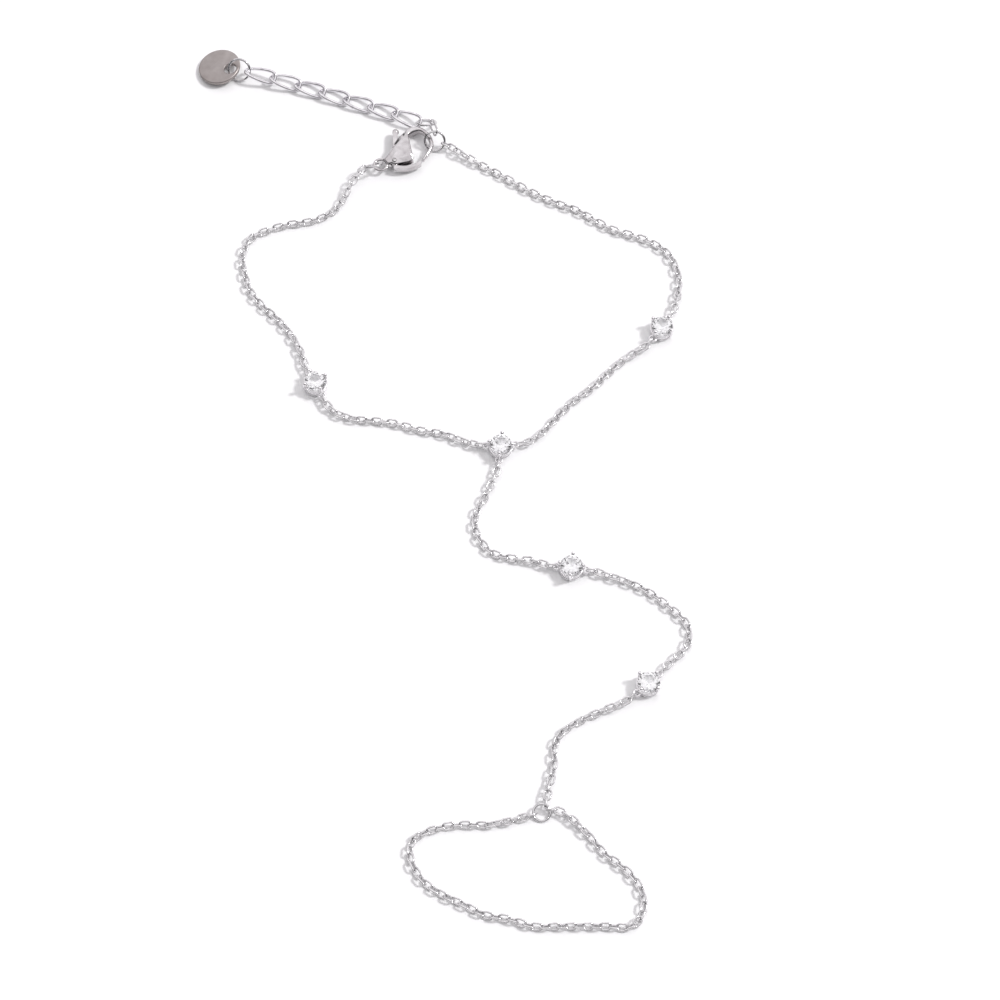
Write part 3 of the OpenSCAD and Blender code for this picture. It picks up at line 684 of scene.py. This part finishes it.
# How many stretches each fine chain has
CHAINS = {"wrist_chain": 4, "hand_chain": 3}
EXTENDER_LINKS = 7
# How each setting is turned, in degrees, and how much further the stone's table is
STONE_TURNS = (117, 52, -7, -8, 48)
TABLE_TURN = 22.5
# Where each jump ring's seam is, as an angle round it
RING_SEAMS = {
    "tag_ring": 1.2,
    "ext_ring": 2.1,
    "closing_ring": 4.4,
    "eye_ring": 0.6,
    "finger_ring": 3.7,
}
# The grain in millimetres and the softening of each kind of casting
SETTING_CAST = (0.045, 5)
CLASP_CAST = (0.05, 12)
LEVER_CAST = (0.04, 4)


def place(piece, body, node, slot):
    """A piece's body and the node that it stands for; the material slot is not used."""
    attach(piece, body)
    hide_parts(node)


for prefix, count in CHAINS.items():
    for k in range(1, count + 1):
        node = f"{prefix}_{k}"
        place(chain_piece(f"{node}_links", node, steel["chain"]), "bracelet", node, "chain")
finger_links = new_piece("finger_chain_links", *finger_chain_links(), steel["chain"])
place(finger_links, "bracelet", "finger_chain", "chain")
place(chain_piece("ext_join_link", "ext_join", steel["ring"]), "bracelet", "ext_join", "ring")
for k in range(1, EXTENDER_LINKS + 1):
    node = f"ext_link_{k}"
    place(large_link_piece(f"{node}_wire", node, steel["extender"]), "bracelet", node, "extender")
for node, seam_at in RING_SEAMS.items():
    place(hoop_piece(f"{node}_wire", node, steel["ring"], seam_at), "bracelet", node, "ring")
place(tag_piece("tag_disc", "tag", tag_metal), "bracelet", "tag", "tag")
for k, turn in enumerate(STONE_TURNS, 1):
    basket = cast_piece(f"setting_{k}_basket", f"setting_{k}", steel["setting"], *SETTING_CAST)
    place(basket, "bracelet", f"setting_{k}", "setting")
    cut = stone_piece(f"stone_{k}_cut", f"stone_{k}", stone_clear, math.radians(turn + TABLE_TURN))
    place(cut, "bracelet", f"stone_{k}", "stone")
claw = cast_piece("clasp_claw", "clasp_body", steel["clasp"], *CLASP_CAST)
place(claw, "bracelet", "clasp_body", "clasp")
lever = cast_piece("clasp_lever_arm", "clasp_lever", steel["clasp"], *LEVER_CAST)
place(lever, "lever", "clasp_lever", "clasp")
place(pin_piece("clasp_rivet", "clasp_pin", steel["pin"]), "bracelet", "clasp_pin", "pin")


# The floor, the sky and the lights

# The floor's half width in metres, and how far it lies under height 0
FLOOR_REACH = 1.5
FLOOR_DROP = 0.005 * MM
# The sky's colour at both ends, and its brightness between them
SKY_HORIZON, SKY_TOP = (0.14, 0.14, 0.145), (1.1, 1.08, 1.1)
SKY_STEPS = ((0.3, 0.1), (0.48, 0.14), (0.58, 1.08), (0.8, 1.08), (0.9, 0.88))
# How much green the brightness has, which leaves it a little pink
SKY_GREEN = 0.98
# What the brightness follows: height, more towards the back and a little towards the right
SKY_AXIS = (0.12, 0.4, 1)
KEY_STRENGTH, KEY_SOFTNESS = 1.8, math.radians(9.5)
KEY_ELEVATION, KEY_AZIMUTH = math.radians(46), math.radians(14)


def floor():
    """A wide square for the bracelet to lie on."""
    r = FLOOR_REACH
    corners = [(x, y, -FLOOR_DROP) for x, y in ((-r, -r), (r, -r), (r, r), (-r, r))]
    new_piece("floor", corners, [(0, 1, 2, 3)], floor_material())


def sky():
    """A pale tent, bright overhead and behind, dark low down and in front."""
    world = bpy.data.worlds.new("tent")
    bpy.context.scene.world = world
    world.use_nodes = True
    nodes, links = world.node_tree.nodes, world.node_tree.links
    where = nodes.new("ShaderNodeTexCoord")
    height = nodes.new("ShaderNodeVectorMath")
    height.operation = "DOT_PRODUCT"
    height.inputs[1].default_value = SKY_AXIS
    shade = nodes.new("ShaderNodeValToRGB")
    steps = shade.color_ramp
    steps.elements[0].color = (*SKY_HORIZON, 1)
    steps.elements[1].color = (*SKY_TOP, 1)
    for position, value in SKY_STEPS:
        steps.elements.new(position).color = (value, value * SKY_GREEN, value, 1)
    links.new(where.outputs["Generated"], height.inputs[0])
    links.new(height.outputs["Value"], shade.inputs["Fac"])
    links.new(shade.outputs["Color"], nodes["Background"].inputs["Color"])


def key_light():
    """One softened light from the right and a little behind."""
    data = bpy.data.lights.new("key", "SUN")
    data.energy = KEY_STRENGTH
    data.angle = KEY_SOFTNESS
    light = bpy.data.objects.new("key", data)
    towards = Vector((math.cos(KEY_AZIMUTH) * math.cos(KEY_ELEVATION),
                      math.sin(KEY_AZIMUTH) * math.cos(KEY_ELEVATION), math.sin(KEY_ELEVATION)))
    light.rotation_euler = towards.to_track_quat("Z", "Y").to_euler()
    bpy.context.collection.objects.link(light)


floor()
sky()
key_light()
bpy.context.scene.view_settings.view_transform = "Standard"
